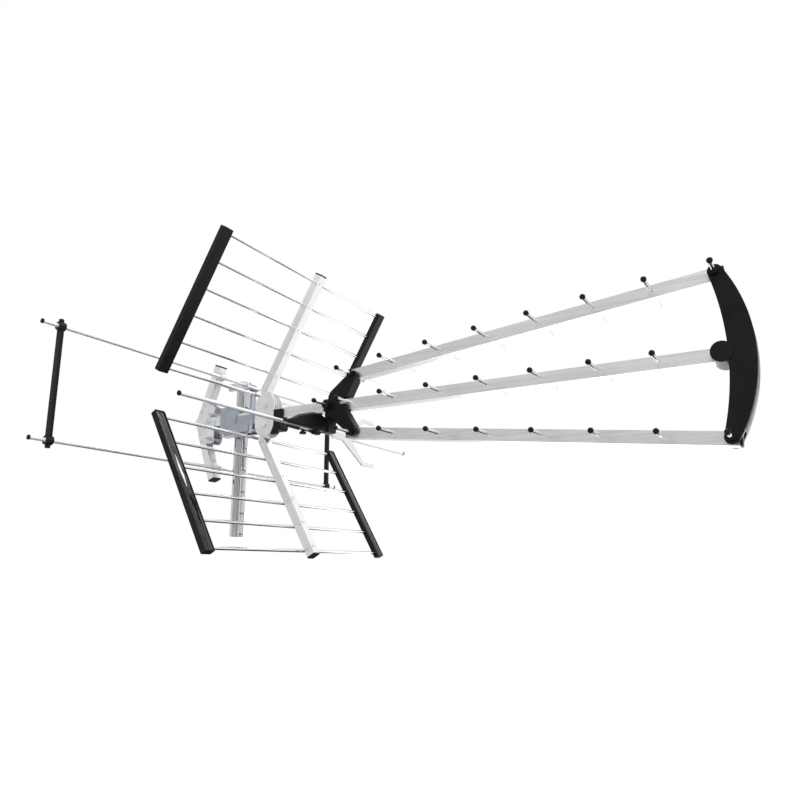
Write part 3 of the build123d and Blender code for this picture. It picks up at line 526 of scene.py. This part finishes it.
def studio_floor():
    """A plain pale floor far below, white to the camera but for the faint shadow."""
    bpy.ops.mesh.primitive_plane_add(size=30.0, location=(0.4, 0.0, FLOOR_Z))
    floor = bpy.context.active_object
    floor.name = "studio_floor"
    made = Recipe("floor_paint")
    made.shader.inputs["Base Color"].default_value = (0.86, 0.86, 0.86, 1.0)
    made.shader.inputs["Roughness"].default_value = 0.9
    path = made.add("ShaderNodeLightPath")
    seen = made.add("ShaderNodeMath", operation="MAXIMUM")
    made.join(path.outputs["Is Camera Ray"], seen.inputs[0])
    made.join(path.outputs["Is Glossy Ray"], seen.inputs[1])
    share = made.add("ShaderNodeMath", operation="MULTIPLY")
    made.join(seen.outputs[0], share.inputs[0])
    share.inputs[1].default_value = 0.95
    white = made.add("ShaderNodeEmission")
    white.inputs["Strength"].default_value = 1.03
    mix = made.add("ShaderNodeMixShader")
    made.join(share.outputs[0], mix.inputs[0])
    made.join(made.shader.outputs[0], mix.inputs[1])
    made.join(white.outputs[0], mix.inputs[2])
    made.join(mix.outputs[0], made.tree.nodes["Material Output"].inputs["Surface"])
    floor.data.materials.append(made.material)


def softbox(name, place, target, size, power, mirrored=True):
    """A square area lamp aimed at a point."""
    data = bpy.data.lights.new(name, "AREA")
    data.shape = "SQUARE"
    data.size = size
    data.energy = power
    lamp = bpy.data.objects.new(name, data)
    bpy.context.scene.collection.objects.link(lamp)
    lamp.location = place
    lamp.visible_camera = False
    lamp.visible_glossy = mirrored
    lamp.rotation_euler = (Vector(target) - Vector(place)).to_track_quat("-Z", "Y").to_euler()


def card(name, place, turn, size, glow=0.0):
    """A card of the studio, dark or softly grey, that only shows where bright metal mirrors it."""
    bpy.ops.mesh.primitive_plane_add(size=1.0, location=place, rotation=[math.radians(a) for a in turn])
    sheet = bpy.context.active_object
    sheet.name = name
    sheet.scale = (*size, 1.0)
    made = Recipe(name + "_cloth")
    made.shader.inputs["Base Color"].default_value = (0.03, 0.03, 0.03, 1.0)
    made.shader.inputs["Roughness"].default_value = 1.0
    made.shader.inputs["Emission Color"].default_value = WHITE
    made.shader.inputs["Emission Strength"].default_value = glow
    sheet.data.materials.append(made.material)
    sheet.visible_camera = False
    sheet.visible_diffuse = False
    sheet.visible_shadow = False


def photo_camera():
    """Below the antenna and off its nose, looking up and across as the photograph does."""
    data = bpy.data.cameras.new("photo_camera")
    data.lens = 32.254
    data.sensor_width = 36.0
    data.clip_start = 0.01
    camera = bpy.data.objects.new("photo_camera", data)
    bpy.context.scene.collection.objects.link(camera)
    camera.location = mm(1013.8, -1075.8, -292.9)
    camera.rotation_euler = (math.radians(90 + 13.157), 0.0, math.radians(29.896))
    bpy.context.scene.camera = camera


studio_world()
studio_floor()
softbox("key", (2.2, -2.6, 2.6), MIDDLE, 2.2, 28.0)
softbox("fill", (-2.2, -2.4, 1.2), MIDDLE, 2.0, 5.0, mirrored=False)
softbox("top", (0.4, 0.6, 3.2), MIDDLE, 2.4, 22.0)
softbox("under", (0.5, 2.6, -0.45), MIDDLE, 2.4, 16.0)
softbox("glint", (0.619, 1.064, 1.498), LOWER_BAR, 0.30, 3.6)
card("low_flag", (0.3, 0.7, -0.80), (0.0, 0.0, 0.0), (2.4, 2.2))
card("side_flag", (2.1, -2.4, 0.3), (90.0, 0.0, 42.0), (0.55, 3.0))
card("near_card", (-0.7, -2.3, 0.75), (90.0, 0.0, 0.0), (4.2, 1.8), 0.56)
photo_camera()

scene = bpy.context.scene
scene.view_settings.view_transform = "Standard"
